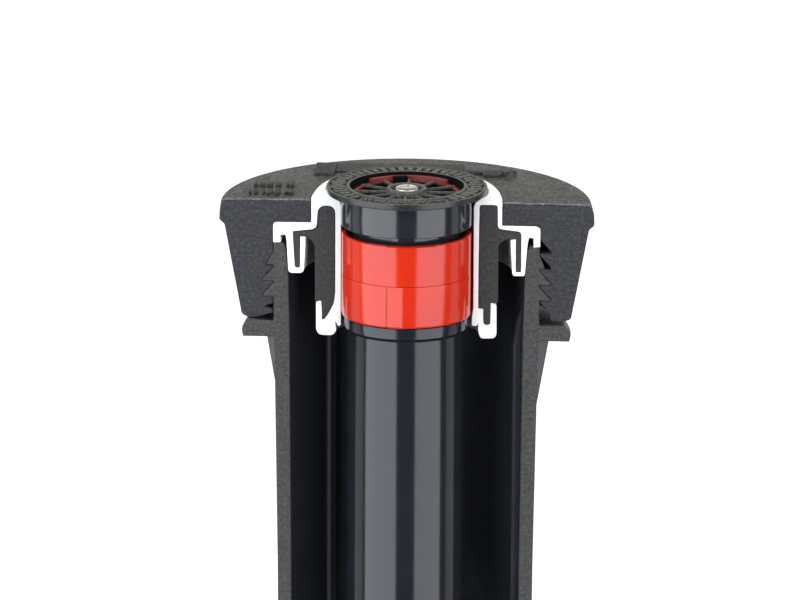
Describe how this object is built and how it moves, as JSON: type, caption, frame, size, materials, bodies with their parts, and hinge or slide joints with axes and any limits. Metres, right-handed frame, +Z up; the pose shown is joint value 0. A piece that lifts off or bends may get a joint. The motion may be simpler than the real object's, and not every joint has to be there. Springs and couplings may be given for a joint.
{
  "type": "pop up sprinkler",
  "caption": "Pop-up spray sprinkler shown as a half-section, with a screwed cap, wiper seal, sliding riser, adjustable nozzle and a female inlet at its foot.",
  "frame": {"origin": "on the riser's axis at the bottom face of the inlet boss, where the supply pipe's thread enters", "axes": "+Z up along the riser's travel, -Y towards the viewer out of the section plane, +X to the viewer's right"},
  "size_m": [0.057, 0.0473, 0.1554],
  "materials": {
    "cap_abs": "fine moulded grain",
    "case_abs": "moulded, sawn on the section",
    "seal_core_pp": "sawn on the section",
    "wiper_seal_tpe": "soft satin",
    "gloss_black_acetal": "polished",
    "satin_black_acetal": "satin",
    "red_acetal": "glossy",
    "filter_nylon": "satin",
    "black_epdm": "matte",
    "stainless_steel": "turned",
    "spring_steel": "drawn wire"
  },
  "bodies": {
    "case": {"case_body": "case_abs", "body_cap": "cap_abs", "wiper_seal": "wiper_seal_tpe", "seal_core": "seal_core_pp"},
    "ratchet": {"ratchet_ring": "satin_black_acetal", "retraction_spring": "spring_steel"},
    "riser": {"riser_stem": "gloss_black_acetal", "ratchet_foot": "satin_black_acetal", "drain_check_seal": "black_epdm", "drain_check_retainer": "satin_black_acetal", "nozzle_body": "red_acetal", "nozzle_gasket": "black_epdm", "pattern_core": "red_acetal", "deflector_cap": "satin_black_acetal", "screw_oring": "black_epdm", "filter_frame": "satin_black_acetal", "filter_mesh": "filter_nylon"},
    "arc_ring": {"arc_collar": "red_acetal"},
    "adjusting_screw": {"radius_screw": "stainless_steel"},
    "throttle": {"throttle_plug": "satin_black_acetal"}
  },
  "joints": [
    {"name": "riser_pop_up", "type": "slide", "parent": "case", "child": "ratchet", "axis": [0, 0, 1], "range_m": [0, 0.1], "stiffness_N_per_m": 250, "springref_m": -0.02, "deforming": ["retraction_spring"]},
    {"name": "riser_ratchet", "type": "hinge", "parent": "ratchet", "child": "riser", "pos_m": [0, 0, 0.0192], "axis": [0, 0, 1], "continuous": true},
    {"name": "arc_adjust", "type": "hinge", "parent": "riser", "child": "arc_ring", "pos_m": [0, 0, 0.1453], "axis": [0, 0, 1], "range_deg": [-150, 180]},
    {"name": "radius_screw_turn", "type": "hinge", "parent": "riser", "child": "adjusting_screw", "pos_m": [0, 0, 0.1552], "axis": [0, 0, -1], "range_deg": [0, 1800]},
    {"name": "throttle_travel", "type": "slide", "parent": "riser", "child": "throttle", "axis": [0, 0, 1], "range_m": [0, 0.0035]}
  ],
  "couplings": [
    {"joint": "radius_screw_turn", "follows": "throttle_travel", "rad_per_m": 8975.9}
  ]
}
